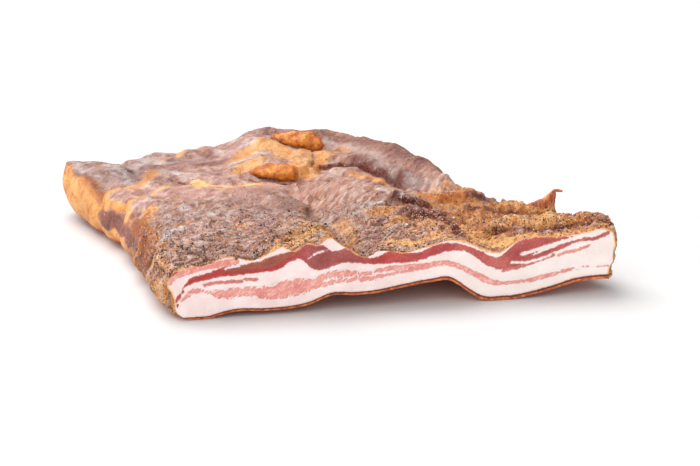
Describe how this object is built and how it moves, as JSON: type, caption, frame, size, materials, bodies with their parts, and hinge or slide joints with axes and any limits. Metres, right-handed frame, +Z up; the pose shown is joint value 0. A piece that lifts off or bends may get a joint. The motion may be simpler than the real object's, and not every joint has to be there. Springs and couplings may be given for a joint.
{
  "type": "streaky bacon",
  "caption": "Slab of smoked streaky bacon on its rind: a rugged peppered crust above, a straight cut across the front with streaks of fat and lean, and an arched underside.",
  "frame": {"origin": "on the table, under the middle of the slab's footprint", "axes": "+X along the straight cut, +Y back from the cut into the slab, +Z up out of the crust"},
  "size_m": [0.3334, 0.2946, 0.0521],
  "materials": {
    "crust": "dried, peppered, matt",
    "fat": "smoked, waxy",
    "spice": "cracked, matt"
  },
  "bodies": {
    "root": {"bacon_slab": "crust"}
  },
  "joints": []
}
